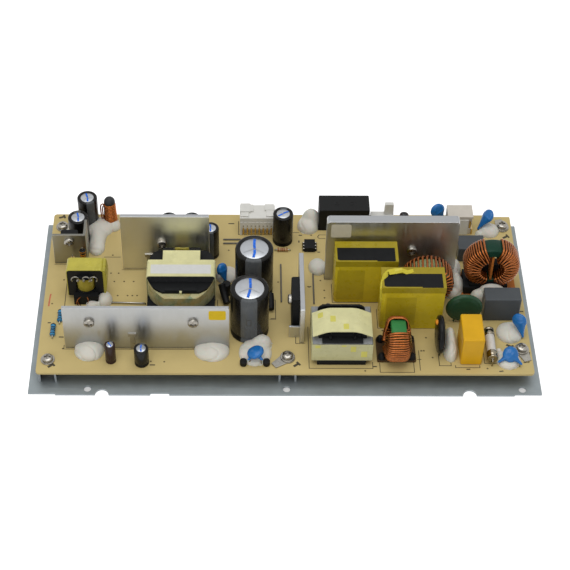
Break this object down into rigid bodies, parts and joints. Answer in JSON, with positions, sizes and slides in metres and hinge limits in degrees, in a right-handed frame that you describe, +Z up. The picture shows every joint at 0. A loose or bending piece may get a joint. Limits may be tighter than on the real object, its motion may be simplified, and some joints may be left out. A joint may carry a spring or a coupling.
{
  "type": "power supply board",
  "caption": "Open-frame switching power supply: a tan circuit board with heatsinks, wound parts and capacitors, screwed on a flat sheet-steel base plate.",
  "frame": {"origin": "middle of the base plate's underside", "axes": "+X along the plate's long side, +Y towards the connectors at the back edge, +Z up from the plate"},
  "size_m": [0.289, 0.136, 0.0574],
  "materials": {
    "galvanised_steel": "zinc-plated sheet",
    "tan_laminate": "phenolic board with solder mask",
    "plated_steel": "bright nickel plating",
    "tinned_copper": "tin plating",
    "aluminium_sheet": "milled sheet",
    "black_epoxy": "moulded epoxy",
    "ferrite": "sintered and ground",
    "black_bobbin": "moulded phenolic",
    "clear_wrap_winding": "layered film over wire",
    "cream_tape": "polyester tape",
    "yellow_tape": "polyester tape",
    "black_core": "sintered powder core",
    "green_coated_core": "epoxy coat",
    "pale_green_core": "epoxy coat",
    "enamelled_copper": "enamelled wire",
    "brown_fibre": "pressed fibre",
    "capacitor_aluminium": "drawn can",
    "black_sleeve": "heat-shrink sleeve",
    "yellow_box": "moulded box",
    "grey_box": "moulded box",
    "blue_glaze": "dipped coat",
    "black_rubber": "shrink tube",
    "green_glaze": "dipped coat",
    "black_glaze": "dipped coat",
    "white_ceramic": "fired tube",
    "gold_plate": "plated brass",
    "white_nylon": "moulded nylon",
    "beige_nylon": "moulded nylon",
    "blue_coat": "dipped coat",
    "white_silicone": "cured sealant"
  },
  "bodies": {
    "root": {"base_plate": "galvanised_steel", "circuit_board": "tan_laminate", "board_screws": "plated_steel", "board_washers": "plated_steel", "ground_lugs": "tinned_copper", "wire_jumpers": "tinned_copper", "output_heatsink": "aluminium_sheet", "front_heatsink": "aluminium_sheet", "input_heatsink": "aluminium_sheet", "switch_heatsink": "aluminium_sheet", "regulator_heatsink": "aluminium_sheet", "heatsink_screws": "plated_steel", "power_devices": "black_epoxy", "switch_transistor": "black_epoxy", "bridge_rectifier": "black_epoxy", "device_leads": "tinned_copper", "main_transformer_core": "ferrite", "main_transformer_bobbin": "black_bobbin", "main_transformer_winding": "clear_wrap_winding", "main_transformer_tape": "cream_tape", "standby_transformer_core": "ferrite", "standby_transformer_bobbin": "black_bobbin", "standby_transformer_winding": "yellow_tape", "standby_transformer_tape": "yellow_tape", "power_choke_cores": "black_core", "power_choke_tapes": "yellow_tape", "filter_transformer_core": "ferrite", "filter_transformer_bobbin": "black_bobbin", "filter_transformer_winding": "cream_tape", "filter_transformer_tape": "cream_tape", "line_choke_core": "green_coated_core", "line_choke_windings": "enamelled_copper", "line_choke_base": "black_bobbin", "line_choke_divider": "brown_fibre", "insulating_pad": "brown_fibre", "boost_toroid_core": "pale_green_core", "boost_toroid_winding": "enamelled_copper", "small_choke_core": "green_coated_core", "small_choke_windings": "enamelled_copper", "small_choke_base": "black_bobbin", "rod_choke_core": "ferrite", "rod_choke_winding": "enamelled_copper", "capacitor_cans": "capacitor_aluminium", "capacitor_sleeves": "black_sleeve", "yellow_film_capacitor": "yellow_box", "grey_film_capacitors": "grey_box", "disc_capacitors": "blue_glaze", "lead_sleeves": "black_rubber", "varistor": "green_glaze", "thermistor": "black_glaze", "fuse_body": "white_ceramic", "fuse_caps": "gold_plate", "output_connector": "white_nylon", "mains_connector": "beige_nylon", "signal_connector": "white_nylon", "connector_pins": "gold_plate", "relay": "black_epoxy", "control_chip": "black_epoxy", "resistors": "blue_coat", "silicone_beads": "white_silicone"}
  },
  "joints": []
}
